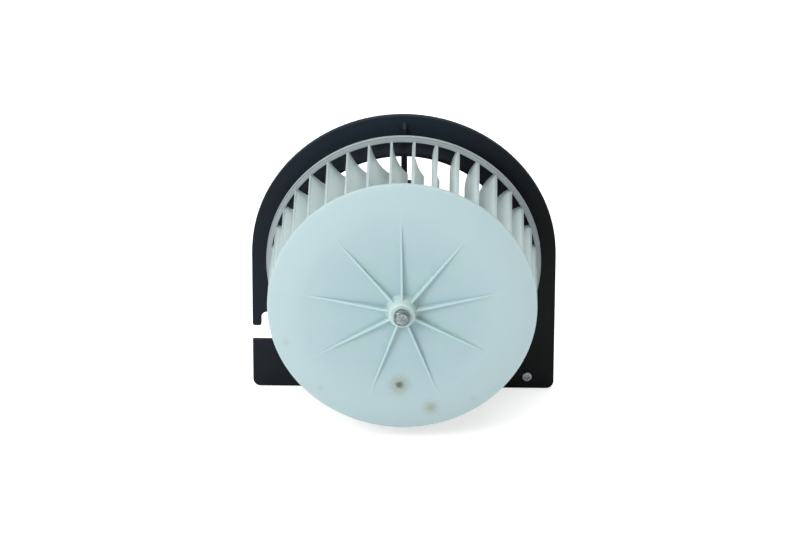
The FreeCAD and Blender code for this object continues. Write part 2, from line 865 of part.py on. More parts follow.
def end_cap():
    spigot = can_inner_radius - seat_gap
    shell = turned(
        (spigot - cap_wall, can_rim - cap_spigot),
        (spigot, can_rim - cap_spigot),
        (spigot, can_rim),
        (can_radius, can_rim),
        (can_radius, cap_flange_rear),
        (cap_bowl_radius, cap_flange_rear),
        (cap_bowl_radius, cap_rear - cap_wall / 2),
        (cap_bowl_radius - cap_wall / 2, cap_rear),
        (bearing_boss_radius, cap_rear),
        (bearing_boss_radius, cap_boss_rear),
        (0, cap_boss_rear),
        (0, rear_bush_seat),
        (boss_inner_radius, rear_bush_seat),
        (boss_inner_radius, cap_inner_rear),
        (cap_bowl_inner_radius, cap_inner_rear),
        (cap_bowl_inner_radius, can_rim),
        (spigot - cap_wall, can_rim),
    )
    post = pin(post_pitch_radius, 0, post_radius, card_rear, cap_inner_rear + cut_past)
    rivet_hole = pin(post_pitch_radius, 0, rivet_radius + press_gap, card_rear - cut_past, cap_inner_rear)
    ear = pin(ear_pitch_radius, 0, ear_radius, can_rim, cap_flange_rear)
    ear_web = block(can_radius - cap_wall, ear_pitch_radius, can_rim, cap_flange_rear,
                    -ear_radius, ear_radius)
    ear_hole = pin(ear_pitch_radius, 0, grommet_neck_radius,
                   can_rim - cut_past, cap_flange_rear + cut_past)
    latch_foot = -socket_drop - socket_height / 2 - socket_wall
    latch = Part.Face(Part.makePolygon([
        FreeCAD.Vector(-latch_width / 2, socket_rear - latch_length, latch_foot + socket_wall / 2),
        FreeCAD.Vector(-latch_width / 2, socket_rear - latch_length, latch_foot - latch_height),
        FreeCAD.Vector(-latch_width / 2, socket_rear - latch_length / 2, latch_foot - latch_height),
        FreeCAD.Vector(-latch_width / 2, socket_rear, latch_foot + socket_wall / 2),
        FreeCAD.Vector(-latch_width / 2, socket_rear - latch_length, latch_foot + socket_wall / 2),
    ])).extrude(FreeCAD.Vector(latch_width, 0, 0))
    pieces = [shell, socket_block(socket_wall, cap_rear - cap_wall / 2, socket_rear), latch]
    pieces += [spun(post, angle) for angle in post_angles()]
    pieces += around(ear, ear_count, ear_first_angle)
    pieces += around(ear_web, ear_count, ear_first_angle)
    cap = joined(pieces)
    cap = cap.cut(disc(cap_bowl_inner_radius, can_rim - cut_past, card_rear))
    cuts = [socket_block(0, cap_rear, socket_rear + cut_past)]
    cuts += [spun(rivet_hole, angle) for angle in post_angles()]
    cuts += around(ear_hole, ear_count, ear_first_angle)
    cuts += [terminal_blank(side, press_gap) for side in (-1, 1)]
    for cut in cuts:
        cap = cap.cut(cut)
    return cap.removeSplitter()


def post_angles():
    return (post_angle, 180 - post_angle, 180 + post_angle, 360 - post_angle)


def motor_grommets():
    """Rubber grommets in the ears, each with a groove that grips the ear."""
    bore = shoulder_radius + press_gap
    neck = grommet_neck_radius - press_gap
    face = outline(
        half_plane,
        (bore, boss_face),
        (grommet_radius, boss_face),
        (grommet_radius, can_rim),
        (neck, can_rim),
        (neck, cap_flange_rear),
        (grommet_radius, cap_flange_rear),
        (grommet_radius, grommet_rear),
        (bore, grommet_rear),
    )
    grommet = face.revolve(ORIGIN, AXIS, 360)
    grommet.translate(FreeCAD.Vector(ear_pitch_radius, 0, 0))
    return Part.makeCompound(around(grommet, ear_count, ear_first_angle))


def motor_screws():
    """Shoulder screws: flanged head, shoulder through the grommet, thread in the frame's boss."""
    head_top = grommet_rear + motor_screw_head_height
    screw = turned(
        (0, boss_face - motor_screw_thread_length),
        (motor_screw_thread_radius, boss_face - motor_screw_thread_length),
        (motor_screw_thread_radius, boss_face),
        (shoulder_radius, boss_face),
        (shoulder_radius, grommet_rear),
        (motor_screw_head_radius, grommet_rear),
        (motor_screw_head_radius, grommet_rear + motor_screw_flange),
        (motor_screw_crown_radius, head_top),
        (0, head_top),
    )
    slot = block(-motor_recess_span / 2, motor_recess_span / 2, head_top - recess_depth, head_top + cut_past,
                 -recess_width / 2, recess_width / 2)
    for turn in (0, 90):
        screw = screw.cut(spun(slot, turn))
    screw.translate(FreeCAD.Vector(ear_pitch_radius, 0, 0))
    return Part.makeCompound(around(screw, ear_count, ear_first_angle))


# Brush gear

def terminal_blank(side, grow):
    """A blade terminal, from in front of the card to the mouth of the socket."""
    x = side * terminal_pitch / 2
    half_thickness = terminal_thickness / 2 + grow
    half_width = terminal_width / 2 + grow
    return block(x - half_thickness, x + half_thickness,
                 card_front - terminal_tab, socket_rear - terminal_inset,
                 -socket_drop - half_width, -socket_drop + half_width)


def terminal(side):
    blade_end = socket_rear - terminal_inset
    blank = terminal_blank(side, 0)
    tip_edges = [edge for edge in blank.Edges
                 if abs(edge.CenterOfMass.y - blade_end) < 0.01 and edge.Length < terminal_width / 2]
    return blank.makeChamfer(terminal_thickness, tip_edges)


def brush_card():
    card = tube(commutator_radius + card_hole_gap, cap_bowl_inner_radius - seat_gap, card_front, card_rear)
    hole = pin(post_pitch_radius, 0, rivet_radius + press_gap,
               card_front - cut_past, card_rear + cut_past)
    cuts = [spun(hole, angle) for angle in post_angles()]
    cuts += [terminal_blank(side, press_gap) for side in (-1, 1)]
    for cut in cuts:
        card = card.cut(cut)
    return card


def card_rivets():
    shank = disc(rivet_radius, card_front - rivet_head_height / 2, cap_inner_rear - press_gap)
    head = turned(
        (0, card_front - rivet_head_height),
        (rivet_crown_radius, card_front - rivet_head_height),
        (rivet_head_radius, card_front - rivet_head_height / 2),
        (rivet_head_radius, card_front),
        (0, card_front),
    )
    rivet = joined([shank, head])
    rivet.translate(FreeCAD.Vector(post_pitch_radius, 0, 0))
    return Part.makeCompound([spun(rivet, angle) for angle in post_angles()])


def brush():
    """The carbon brush on the right, its end hollowed to ride on the commutator."""
    carbon = block(commutator_radius - cut_past, brush_outer_end,
                   brush_axis - brush_height / 2, brush_axis + brush_height / 2,
                   -brush_width / 2, brush_width / 2)
    return carbon.cut(disc(brush_inner_end, card_front - brush_box_height - cut_past, card_front + cut_past))


def brush_box():
    """The brass guide of the right brush, closed at its outer end, slotted below for the lead."""
    outer = block(brush_inner_end + brush_box_inner_gap, brush_box_end,
                  card_front - brush_box_height, card_front, -brush_box_width / 2, brush_box_width / 2)
    room_y = brush_height / 2 + brush_side_gap
    room_z = brush_width / 2 + brush_side_gap
    room = block(0, brush_box_end - brush_box_wall, brush_axis - room_y, brush_axis + room_y,
                 -room_z, room_z)
    slot = block(0, brush_box_end - brush_box_wall,
                 brush_axis - lead_slot_width / 2, brush_axis + lead_slot_width / 2,
                 -brush_box_width, 0)
    return outer.cut(room).cut(slot)


def brush_spring():
    """The coil spring behind the right brush, of square wire."""
    room = brush_box_end - brush_box_wall - brush_outer_end
    travel = room - spring_wire
    path = Part.makeHelix(travel / spring_turns, travel, spring_radius)
    start = FreeCAD.Vector(spring_radius, 0, 0)
    half = spring_wire / 2
    corners = [start + FreeCAD.Vector(x, 0, z)
               for x, z in ((-half, -half), (half, -half), (half, half), (-half, half))]
    section = Part.makePolygon(corners + corners[:1])
    spring = Part.Wire(path.Edges).makePipeShell([section], True, True)
    spring.rotate(ORIGIN, FreeCAD.Vector(0, 1, 0), 90)
    spring.translate(FreeCAD.Vector(brush_outer_end + spring_wire / 2, brush_axis, 0))
    return spring


def brush_lead():
    """The flexible lead from the right brush to the top of its choke."""
    start_x = (brush_inner_end + brush_outer_end) / 2 + lead_offset
    return wire_piece(
        [
            (start_x, brush_axis, -brush_width / 2 - press_gap),
            (start_x, brush_axis, -choke_drop_top + choke_core_proud + 2 * lead_radius),
            (choke_side, choke_axis, -choke_drop_top + choke_core_proud + lead_radius),
        ],
        lead_radius, 2 * lead_radius)


def choke_core():
    return Part.makeCylinder(choke_core_radius, choke_length + 2 * choke_core_proud,
                             FreeCAD.Vector(choke_side, choke_axis, -choke_drop_top + choke_core_proud),
                             FreeCAD.Vector(0, 0, -1))


def choke_coil():
    """The winding on the core, with the tail that runs to the terminal."""
    top = FreeCAD.Vector(choke_side, choke_axis, -choke_drop_top)
    down = FreeCAD.Vector(0, 0, -1)
    coil = Part.makeCylinder(choke_coil_radius, choke_length, top, down)
    bore = Part.makeCylinder(choke_core_radius + press_gap, choke_length, top, down)
    side = (choke_core_radius + choke_coil_radius) / 2
    foot = -choke_drop_top - choke_length
    tail = wire_piece(
        [
            (choke_side - side, choke_axis, foot + cut_past),
            (choke_side - side, choke_axis, foot - 3 * lead_radius),
            (terminal_pitch / 2 + terminal_thickness / 2 + press_gap, choke_axis, foot - 3 * lead_radius),
        ],
        lead_radius, 2 * lead_radius)
    return joined([coil.cut(bore), tail])


def save(name, shape):
    shape.exportStep("parts/" + name + ".step")
    print(name, len(shape.Solids), "valid" if shape.isValid() else "INVALID", round(shape.Volume, 1))


def main():
    os.makedirs("parts", exist_ok=True)
    save("mounting_frame", mounting_frame())
    save("damper_pads", damper_pads())
    save("fixing_screw", fixing_screw())
    save("impeller", impeller())
    save("motor_shaft", motor_shaft())
    save("front_bush", bush(front_bush_seat, 1))
    save("rear_bush", bush(rear_bush_seat, -1))
    save("front_oil_felt", oil_felt(front_bush_seat, 1))
    save("rear_oil_felt", oil_felt(rear_bush_seat, -1))
    save("front_bush_clip", bush_clip(front_bush_seat, 1))
    save("rear_bush_clip", bush_clip(rear_bush_seat, -1))
    save("front_thrust_washer", thrust_washer(front_washer))
    save("rear_thrust_washer", thrust_washer(rear_washer))
    save("motor_can", motor_can())
    save("magnet_right", magnet())
    save("magnet_left", mirrored(magnet()))
    save("magnet_clip_top", magnet_clip())
    save("magnet_clip_bottom", spun(magnet_clip(), 180))
    save("armature_core", slotted_stack(core_front, core_rear))
    save("front_insulator", front_insulator())
    save("rear_insulator", slotted_stack(core_rear, rear_insulator_face))
    save("armature_winding", armature_winding())
    save("commutator_hub", tube(shaft_hole_radius, commutator_hub_radius, commutator_front, rear_washer))
    save("commutator_bars", commutator_bars())
    save("end_cap", end_cap())
    save("motor_grommets", motor_grommets())
    save("motor_screws", motor_screws())
    save("brush_card", brush_card())
    save("card_rivets", card_rivets())
    save("terminal_right", terminal(1))
    save("terminal_left", terminal(-1))
    pairs = {
        "brush": brush(),
        "brush_box": brush_box(),
        "brush_spring": brush_spring(),
        "brush_lead": brush_lead(),
        "choke_core": choke_core(),
        "choke_coil": choke_coil(),
    }
    for name, shape in pairs.items():
        save(name + "_right", shape)
        save(name + "_left", mirrored(shape))


main()
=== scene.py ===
import json
import math
import bmesh
import bpy
from bpy.props import FloatProperty, FloatVectorProperty, IntProperty, PointerProperty
from mathutils import Matrix, Vector


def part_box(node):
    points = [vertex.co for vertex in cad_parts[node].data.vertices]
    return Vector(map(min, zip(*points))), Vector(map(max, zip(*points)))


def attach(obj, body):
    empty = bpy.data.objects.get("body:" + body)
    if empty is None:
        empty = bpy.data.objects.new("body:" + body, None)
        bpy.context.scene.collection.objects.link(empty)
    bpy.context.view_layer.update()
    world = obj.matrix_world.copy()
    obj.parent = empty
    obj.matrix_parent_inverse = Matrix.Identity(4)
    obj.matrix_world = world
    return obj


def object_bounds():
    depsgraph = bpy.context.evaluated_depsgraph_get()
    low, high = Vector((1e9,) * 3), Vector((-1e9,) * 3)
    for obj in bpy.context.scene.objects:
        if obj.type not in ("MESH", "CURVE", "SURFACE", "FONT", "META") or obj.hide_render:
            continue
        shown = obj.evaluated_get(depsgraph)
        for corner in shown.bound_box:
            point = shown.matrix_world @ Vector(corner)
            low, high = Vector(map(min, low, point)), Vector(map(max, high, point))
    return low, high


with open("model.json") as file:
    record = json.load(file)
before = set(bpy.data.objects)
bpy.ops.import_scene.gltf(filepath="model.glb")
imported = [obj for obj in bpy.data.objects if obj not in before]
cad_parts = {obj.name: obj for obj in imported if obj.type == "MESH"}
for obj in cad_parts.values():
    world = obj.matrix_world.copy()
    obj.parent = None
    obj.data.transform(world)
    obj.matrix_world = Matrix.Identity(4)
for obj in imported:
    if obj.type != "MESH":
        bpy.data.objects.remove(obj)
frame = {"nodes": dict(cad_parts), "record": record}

bl_info = {
    "name": "Car Cabin Blower",
    "version": (1, 0, 0),
    "blender": (4, 5, 0),
    "location": "View3D > Sidebar > Blower",
    "description": "Finishes and fine pieces for a car cabin blower, and a studio to see it in",
    "category": "Object",
}

MM = 0.001
CAD_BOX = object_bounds()

# The hub's face is the wheel's foremost place; the disc's rim and its flat middle lie behind it
HUB_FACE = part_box("impeller")[0].y
HUB_RISE = 9.9 * MM
HUB_RADIUS = 7.5 * MM
HUB_FILLET = 1.6 * MM
DISC_CROWN = 3.0 * MM
DISC_RIM = HUB_FACE + HUB_RISE
DISC_FACE = DISC_RIM - DISC_CROWN
RIM_RADIUS = 67.6 * MM

# The ring at the blades' inlet ends has a small step round its outer front edge
RING_FRONT = -9.5 * MM
RING_RADIUS = 70.0 * MM
RING_STEP = 0.5 * MM

SHAFT_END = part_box("motor_shaft")[0].y
SHAFT_END_RADIUS = 3.4 * MM

# Gusset ribs of the disc, whose painted highlight runs out into faint lines beyond their visible ends
RIB_COUNT = 9
RIB_FIRST_ANGLE = math.radians(91.0)
RIB_FOOT = 0.8 * MM
RIB_END = 46 * MM
RIB_LINE_END = 59 * MM

# Ridge of the screw's thread. Its foot is sunk to a share of the shank's radius, half its width there
# is a share of the pitch, its crest is a share of its foot, and it grows over a share of its length.
THREAD_SUNK = 0.9
THREAD_HALF_FOOT = 0.32
THREAD_CREST = 0.12
THREAD_GROWS = 1 / 6


# Settings

class BlowerWheelSettings(bpy.types.PropertyGroup):
    """Colours and finish of the moulded wheel."""

    # Painted shade: the motor behind the see-through disc is painted into the disc's middle as this
    # darker colour
    motor_shade_color: FloatVectorProperty(
        name="Inner Colour", description="Milky plastic where the motor darkens it from behind",
        default=(0.455, 0.61, 0.655), subtype="COLOR", size=3, min=0.0, max=1.0)
    outer_color: FloatVectorProperty(
        name="Outer Colour", description="Milky plastic near the disc's rim",
        default=(0.515, 0.655, 0.68), subtype="COLOR", size=3, min=0.0, max=1.0)
    green_color: FloatVectorProperty(
        name="Greenish Colour", description="Faint greener clouds in the middle of the disc",
        default=(0.455, 0.63, 0.625), subtype="COLOR", size=3, min=0.0, max=1.0)
    # Partly painted shade: this grey also dims the bright line along the disc's outermost edge
    edge_and_shade_color: FloatVectorProperty(
        name="Edge Colour",
        description="Greyer plastic of the ring and of the blades' outer edges beside it",
        default=(0.41, 0.465, 0.48), subtype="COLOR", size=3, min=0.0, max=1.0)
    # Painted shade in the small step round the ring
    step_shade_color: FloatVectorProperty(
        name="Groove Colour", description="Dust in the small step round the ring",
        default=(0.3, 0.345, 0.365), subtype="COLOR", size=3, min=0.0, max=1.0)
    blade_color: FloatVectorProperty(
        name="Blade Colour", description="Milky plastic of the blades",
        default=(0.69, 0.79, 0.78), subtype="COLOR", size=3, min=0.0, max=1.0)
    # Painted highlight: the ribs and the hub are the disc's own plastic, painted paler where they stand
    # out
    rib_highlight_color: FloatVectorProperty(
        name="Rib Colour",
        description="Milky plastic of the ribs and the hub, which stand out from the disc",
        default=(0.58, 0.72, 0.715), subtype="COLOR", size=3, min=0.0, max=1.0)
    stain_color: FloatVectorProperty(
        name="Stain Colour", description="Brown marks on the disc",
        default=(0.14, 0.16, 0.12), subtype="COLOR", size=3, min=0.0, max=1.0)
    halo_color: FloatVectorProperty(
        name="Halo Colour", description="Yellowish brown that spreads round the marks",
        default=(0.38, 0.41, 0.33), subtype="COLOR", size=3, min=0.0, max=1.0)
    # Also the colour of a painted shadow to the right of the hub
    smudge_and_shadow_color: FloatVectorProperty(
        name="Smudge Colour", description="Faint grey marks on the disc",
        default=(0.36, 0.42, 0.42), subtype="COLOR", size=3, min=0.0, max=1.0)
    # Where the painted shade of the motor gives way to the disc's own colour at its rim
    shade_radius: FloatProperty(
        name="Shade Radius", description="Where the darker middle of the disc gives way to its rim",
        default=50 * MM, unit="LENGTH", min=0.0)
    roughness: FloatProperty(
        name="Roughness", description="Roughness of the satin surface",
        default=0.42, subtype="FACTOR", min=0.0, max=1.0)


class BlowerFrameSettings(bpy.types.PropertyGroup):
    """Colours and finish of the moulded frame."""

    # The tone between these colours follows the random grain and patches, and painted light from the
    # upper left and the top
    low_color: FloatVectorProperty(
        name="Dark Colour", description="Darker tone of the black plastic",
        default=(0.001, 0.002, 0.0025), subtype="COLOR", size=3, min=0.0, max=1.0)
    high_color: FloatVectorProperty(
        name="Light Colour", description="Lighter tone of the black plastic",
        default=(0.0125, 0.0215, 0.033), subtype="COLOR", size=3, min=0.0, max=1.0)
    grain: FloatProperty(
        name="Grain", description="Size of the moulded grain",
        default=0.5 * MM, unit="LENGTH", min=0.0)


class BlowerScrewSettings(bpy.types.PropertyGroup):
    """The thread of the small screw in the frame's corner."""

    shank_radius: FloatProperty(
        name="Shank Radius", description="Radius of the screw's shank under its thread",
        default=1.45 * MM, unit="LENGTH", min=0.0)
    thread_radius: FloatProperty(
        name="Thread Radius", description="Radius of the thread's crest",
        default=1.95 * MM, unit="LENGTH", min=0.0)
    thread_pitch: FloatProperty(
        name="Thread Pitch", description="From one turn of the thread to the next",
        default=1.3 * MM, unit="LENGTH", min=0.0)
    thread_start: FloatProperty(
        name="Thread Start",
        description="Where the thread comes out of the plate's boss, behind the plate's face",
        default=6.5 * MM, unit="LENGTH", min=0.0)
    thread_point: FloatProperty(
        name="Point Length", description="Bare length between the thread and the screw's tip",
        default=0.9 * MM, unit="LENGTH", min=0.0)
    thread_segments: IntProperty(
        name="Segments", description="Flats in one turn of the thread", default=28, min=6)


class BlowerStudioSettings(bpy.types.PropertyGroup):
    """The camera and the lights."""

    camera_azimuth: FloatProperty(
        name="Camera Azimuth", description="Turn of the camera to the right of straight ahead",
        default=math.radians(0.725), subtype="ANGLE")
    camera_elevation: FloatProperty(
        name="Camera Elevation", description="Height of the camera above the horizon",
        default=math.radians(25.837), subtype="ANGLE")
    camera_roll: FloatProperty(
        name="Camera Roll", description="Turn of the camera about its own line of sight",
        default=math.radians(0.204), subtype="ANGLE")
    camera_distance: FloatProperty(
        name="Camera Distance", description="From the camera to the place that it looks at",
        default=2.4846, unit="LENGTH", min=0.1)
    camera_aim: FloatVectorProperty(
        name="Camera Aim", description="The place that the camera looks at",
        default=(-1.83 * MM, -8.15 * MM, -2.74 * MM), subtype="TRANSLATION", size=3)
    camera_lens: FloatProperty(
        name="Focal Length", description="Focal length in millimetres on a 36 mm sensor",
        default=219.3, unit="CAMERA", min=1.0)
    key_power: FloatProperty(
        name="Key Light", description="Power of the soft light from the upper left",
        default=6.0, unit="POWER", min=0.0)
    fill_power: FloatProperty(
        name="Fill Light", description="Power of the soft light from the right",
        default=0.45, unit="POWER", min=0.0)
    top_power: FloatProperty(
        name="Top Light", description="Power of the soft light over the floor",
        default=13.0, unit="POWER", min=0.0)
    sky_strength: FloatProperty(
        name="Sky", description="Brightness of the pale surroundings",
        default=0.46, min=0.0)
    floor_glow: FloatProperty(
        name="Floor Glow", description="Brightness added to the floor where the camera sees it",
        default=0.6, min=0.0)
    floor_color: FloatVectorProperty(
        name="Floor Colour", description="Colour of the pale floor",
        default=(0.93, 0.93, 0.93), subtype="COLOR", size=3, min=0.0, max=1.0)


# Nodes

def add_node(tree, kind, inputs=None, **settings):
    """A node with its settings and the values or links of its inputs."""
    node = tree.nodes.new(kind)
    for name, value in settings.items():
        setattr(node, name, value)
    for name, value in (inputs or {}).items():
        socket = node.inputs[name]
        if isinstance(value, bpy.types.NodeSocket):
            tree.links.new(value, socket)
        else:
            socket.default_value = value
    return node


def math_node(tree, operation, first, second=0.0, clamp=False):
    return add_node(tree, "ShaderNodeMath", {0: first, 1: second},
                    operation=operation, use_clamp=clamp).outputs[0]


def map_range(tree, value, low, high, out_low=0.0, out_high=1.0, smooth=False):
    return add_node(
        tree, "ShaderNodeMapRange",
        {"Value": value, "From Min": low, "From Max": high, "To Min": out_low, "To Max": out_high},
        interpolation_type="SMOOTHSTEP" if smooth else "LINEAR").outputs["Result"]


def blend(tree, first, share, second):
    """Two values added up, of which the first makes the given share."""
    return math_node(tree, "ADD", math_node(tree, "MULTIPLY", first, share),
                     math_node(tree, "MULTIPLY", second, 1.0 - share))


def mix_color(tree, mask, first, second):
    """The first colour where the mask is 0, the second where it is 1."""
    def rgba(color):
        return color if isinstance(color, bpy.types.NodeSocket) else (*color, 1.0)
    return add_node(tree, "ShaderNodeMix", {0: mask, 6: rgba(first), 7: rgba(second)},
                    data_type="RGBA").outputs[2]


def object_place(tree):
    return add_node(tree, "ShaderNodeTexCoord").outputs["Object"]


def split_place(tree):
    """The X, Y and Z of the place on the object."""
    return add_node(tree, "ShaderNodeSeparateXYZ", {0: object_place(tree)}).outputs


def distance(tree, place, other=(0.0, 0.0, 0.0)):
    """How far one place is from another, or from the origin."""
    return add_node(tree, "ShaderNodeVectorMath", {0: place, 1: other},
                    operation="DISTANCE").outputs["Value"]


def face_place(tree, split):
    """The place seen from the front: across and up."""
    return add_node(tree, "ShaderNodeCombineXYZ", {"X": split["X"], "Y": split["Z"]}).outputs[0]


def axis_radius(tree, split):
    """How far the surface is from the spin axis."""
    return distance(tree, face_place(tree, split))


def noise(tree, place, size, detail=3.0, roughness=0.55):
    """Cloudy noise whose lumps are about as wide as size, in metres."""
    return add_node(tree, "ShaderNodeTexNoise",
                    {"Vector": place, "Scale": 1.0 / size, "Detail": detail, "Roughness": roughness}
                    ).outputs["Fac"]


# Effects that several materials share

def new_group(name, values):
    """An empty node group with an input for each value, and one output named Value."""
    group = bpy.data.node_groups.new(name, "ShaderNodeTree")
    for label, default in values.items():
        socket = group.interface.new_socket(name=label, in_out="INPUT", socket_type="NodeSocketFloat")
        socket.default_value = default
    group.interface.new_socket(name="Value", in_out="OUTPUT", socket_type="NodeSocketFloat")
    return group, group.nodes.new("NodeGroupInput").outputs


def close_group(group, value):
    out = group.nodes.new("NodeGroupOutput")
    group.links.new(value, out.inputs["Value"])
    return group


def grain_group():
    """Fine moulded or pressed grain: small soft pits among cloudy bumps."""
    group, given = new_group("fine_grain", {"Scale": 2000.0, "Pits": 0.5})
    place = object_place(group)
    clouds = add_node(group, "ShaderNodeTexNoise",
                      {"Vector": place, "Scale": given["Scale"], "Detail": 3.0}).outputs["Fac"]
    pits = add_node(group, "ShaderNodeTexVoronoi",
                    {"Vector": place, "Scale": given["Scale"]}).outputs["Distance"]
    mixed = add_node(group, "ShaderNodeMix", {0: given["Pits"], 2: clouds, 3: pits})
    return close_group(group, mixed.outputs[0])


def patch_group():
    """Wide cloudy patches that break up an even colour."""
    group, given = new_group("cloudy_patches", {"Scale": 40.0, "Contrast": 1.0})
    clouds = add_node(group, "ShaderNodeTexNoise",
                      {"Vector": object_place(group), "Scale": given["Scale"], "Detail": 4.0})
    centred = math_node(group, "SUBTRACT", clouds.outputs["Fac"], 0.5)
    spread = math_node(group, "MULTIPLY", centred, given["Contrast"])
    return close_group(group, math_node(group, "ADD", spread, 0.5, clamp=True))


def ring_group():
    """Fine rings about the spin axis, as a lathe leaves them."""
    group, given = new_group("turned_rings", {"Scale": 3000.0})
    split = split_place(group)
    along = math_node(group, "ADD", axis_radius(group, split), split["Y"])
    line = add_node(group, "ShaderNodeCombineXYZ",
                    {"X": math_node(group, "MULTIPLY", along, given["Scale"])})
    rings = add_node(group, "ShaderNodeTexNoise",
                     {"Vector": line.outputs[0], "Scale": 1.0, "Detail": 2.0})
    return close_group(group, rings.outputs["Fac"])


def streak_group():
    """Long streaks along the spin axis, as drawing and rolling leave them."""
    group, given = new_group("drawn_streaks", {"Scale": 1500.0})
    stretched = add_node(group, "ShaderNodeVectorMath", {0: object_place(group), 1: (1.0, 0.03, 1.0)},
                         operation="MULTIPLY")
    streaks = add_node(group, "ShaderNodeTexNoise",
                       {"Vector": stretched.outputs[0], "Scale": given["Scale"], "Detail": 3.0})
    return close_group(group, streaks.outputs["Fac"])


GROUP_MAKERS = {
    "fine_grain": grain_group,
    "cloudy_patches": patch_group,
    "turned_rings": ring_group,
    "drawn_streaks": streak_group,
}


def effect(tree, name, size, **values):
    """A shared effect placed in a material, with marks about as wide as size, in metres."""
    group = bpy.data.node_groups.get(name) or GROUP_MAKERS[name]()
    node = add_node(tree, "ShaderNodeGroup", {"Scale": 1.0 / size, **values}, node_tree=group)
    return node.outputs["Value"]


# Materials

# How far the roughness of a plastic drifts either way over its surface
GLOSS_DRIFT = 0.06


def new_material(name, **constants):
    """A material with one Principled shader, and the values that are the same all over it."""
    material = bpy.data.materials.new(name)
    material.use_nodes = True
    tree = material.node_tree
    tree.nodes.clear()
    shader = tree.nodes.new("ShaderNodeBsdfPrincipled")
    out = tree.nodes.new("ShaderNodeOutputMaterial")
    tree.links.new(shader.outputs[0], out.inputs["Surface"])
    for label, value in constants.items():
        shader.inputs[label.replace("_", " ")].default_value = value
    return material, tree, shader


def finish_surface(tree, shader, color, roughness, height, depth):
    """Links a colour, a roughness and a bump height to the shader."""
    tree.links.new(color, shader.inputs["Base Color"])
    tree.links.new(roughness, shader.inputs["Roughness"])
    bump = add_node(tree, "ShaderNodeBump", {"Strength": 1.0, "Distance": depth, "Height": height})
    tree.links.new(bump.outputs["Normal"], shader.inputs["Normal"])


# Finishes of the motor's pieces

def grained(name, low, high, roughness, grain, depth, pits=0.4, patch=15 * MM, **constants):
    """A matt material with fine grain and soft patches: plastics, rubber, ferrite, carbon."""
    material, tree, shader = new_material(name, **constants)
    cells = effect(tree, "fine_grain", grain, Pits=pits)
    tone = blend(tree, cells, 0.35, effect(tree, "cloudy_patches", patch, Contrast=1.6))
    finish_surface(tree, shader, mix_color(tree, tone, low, high),
                   map_range(tree, tone, 0.2, 0.8, roughness - GLOSS_DRIFT, roughness + GLOSS_DRIFT),
                   cells, depth)
    return material


def metal(name, low, high, roughness, marks, size, depth, patch):
    """A metal whose tool marks follow one shared effect, with soft patches in colour and gloss."""
    material, tree, shader = new_material(name, Metallic=1.0)
    tooled = effect(tree, marks, size)
    tone = blend(tree, tooled, 0.45, effect(tree, "cloudy_patches", patch, Contrast=1.8))
    finish_surface(tree, shader, mix_color(tree, tone, low, high),
                   map_range(tree, tone, 0.2, 0.8, roughness + 0.1, roughness - 0.08), tooled, depth)
    return material


def laminated_steel(sheet=0.65 * MM):
    """Thin stamped sheets, stacked along the shaft."""
    material, tree, shader = new_material("laminated_steel", Metallic=1.0)
    stacked = math_node(tree, "MULTIPLY", split_place(tree)["Y"], 1.0 / sheet)
    from_middle = math_node(tree, "SUBTRACT", math_node(tree, "FRACT", stacked), 0.5)
    seam = map_range(tree, math_node(tree, "ABSOLUTE", from_middle), 0.34, 0.5, 1.0, 0.0, smooth=True)
    patches = effect(tree, "cloudy_patches", 1 / 180, Contrast=1.6)
    steel = mix_color(tree, patches, (0.15, 0.15, 0.16), (0.32, 0.31, 0.30))
    finish_surface(tree, shader, mix_color(tree, seam, (0.04, 0.03, 0.03), steel),
                   map_range(tree, patches, 0.0, 1.0, 0.5, 0.36), seam, 0.06 * MM)
    return material


def wound_copper(name, turn, **winding):
    """Enamelled wire laid turn by turn, with a slight waver."""
    material, tree, shader = new_material(name, Metallic=0.9, Coat_Weight=0.35)
    patches = effect(tree, "cloudy_patches", 1 / 260, Contrast=1.8)
    waver = math_node(tree, "MULTIPLY", patches, 4 * MM)
    place = add_node(tree, "ShaderNodeVectorMath", {0: object_place(tree), 1: waver}, operation="ADD")
    # A wave texture of scale 1 repeats every pi / 10 of a unit
    wires = add_node(tree, "ShaderNodeTexWave",
                     {"Vector": place.outputs[0], "Scale": math.pi / 10 / turn,
                      "Distortion": 1.0, "Detail": 1.0}, **winding).outputs["Fac"]
    copper = mix_color(tree, patches, (0.42, 0.13, 0.05), (0.62, 0.25, 0.10))
    finish_surface(tree, shader, mix_color(tree, wires, (0.16, 0.04, 0.02), copper),
                   map_range(tree, wires, 0.0, 1.0, 0.42, 0.26), wires, 0.15 * MM)
    return material


def ground_shaft():
    """Ground steel with turned end faces: a painted dark reflection round the rim where the edge is
    broken, and a painted shade for a centre mark.
    """
    material, tree, shader = new_material("ground_shaft", Metallic=1.0)
    split = split_place(tree)
    radius = axis_radius(tree, split)
    marks = effect(tree, "turned_rings", 0.12 * MM)
    tone = blend(tree, marks, 0.3, effect(tree, "cloudy_patches", 1.6 * MM, Contrast=3.0))
    steel = mix_color(tree, tone, (0.17, 0.20, 0.21), (0.50, 0.57, 0.58))
    # Painted dark reflection on the chamfered rim of the end, and painted shade of a centre mark in its
    # middle
    rim = map_range(tree, radius, SHAFT_END_RADIUS - 0.9 * MM, SHAFT_END_RADIUS, 0.0, 0.45, smooth=True)
    centre = map_range(tree, radius, 0.4 * MM, 0.9 * MM, 0.55, 0.0, smooth=True)
    end = map_range(tree, split["Y"], SHAFT_END + 0.6 * MM, SHAFT_END + 1.0 * MM, 1.0, 0.0)
    painted_end_shade = math_node(tree, "MULTIPLY", math_node(tree, "MAXIMUM", rim, centre), end)
    finish_surface(tree, shader, mix_color(tree, painted_end_shade, steel, (0.09, 0.10, 0.11)),
                   map_range(tree, tone, 0.2, 0.8, 0.42, 0.24), marks, 0.004 * MM)
    return material


